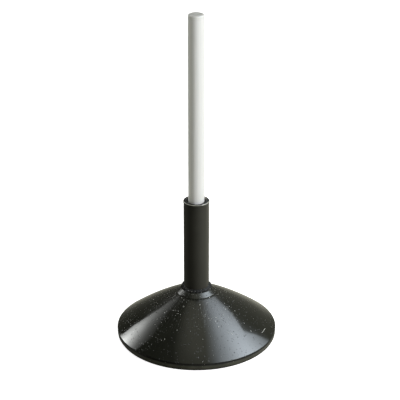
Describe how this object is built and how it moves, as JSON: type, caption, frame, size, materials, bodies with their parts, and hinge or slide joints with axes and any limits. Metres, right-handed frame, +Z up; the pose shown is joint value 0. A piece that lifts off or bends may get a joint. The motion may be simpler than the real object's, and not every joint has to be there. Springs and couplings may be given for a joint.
{
  "type": "weighted pole stand",
  "caption": "Free-standing white pole in the socket tube of a heavy, cone-shaped black base with a rubber rim.",
  "frame": {"origin": "on the floor, under the middle of the base", "axes": "+Z up along the socket and the pole; the stand is round, so +X and +Y are free"},
  "size_m": [0.254, 0.254, 0.53],
  "materials": {
    "enamel": "gloss black stoving enamel",
    "plate_paint": "semi-matte black paint on the underside plate",
    "weld": "rippled weld under black enamel",
    "tube_steel": "black painted steel tube, worn at the mouth",
    "sleeve": "satin black extruded PVC",
    "rubber": "moulded black rubber",
    "concrete": "cast concrete",
    "zinc": "zinc plated steel",
    "pole_white": "smooth white extruded PVC",
    "cap_white": "smooth white moulded polyethylene"
  },
  "bodies": {
    "base": {"cone_shell": "enamel", "rim_edging": "rubber", "base_plate": "plate_paint", "ballast": "concrete", "neck_collar": "enamel", "weld_bead": "weld", "socket_tube": "tube_steel", "outer_sleeve": "sleeve", "socket_plug": "zinc", "rest_pad": "rubber", "centre_bolt": "zinc", "lock_washer": "zinc", "flat_washer": "zinc"},
    "foot": {"pole_foot": "rubber"},
    "pole": {"pole_tube": "pole_white", "pole_cap": "cap_white"}
  },
  "joints": [
    {"name": "pole_lift", "type": "slide", "parent": "base", "child": "foot", "axis": [0, 0, 1], "range_m": [0, 0.215]},
    {"name": "pole_turn", "type": "hinge", "parent": "foot", "child": "pole", "pos_m": [0, 0, 0.03], "axis": [0, 0, 1], "continuous": true}
  ]
}
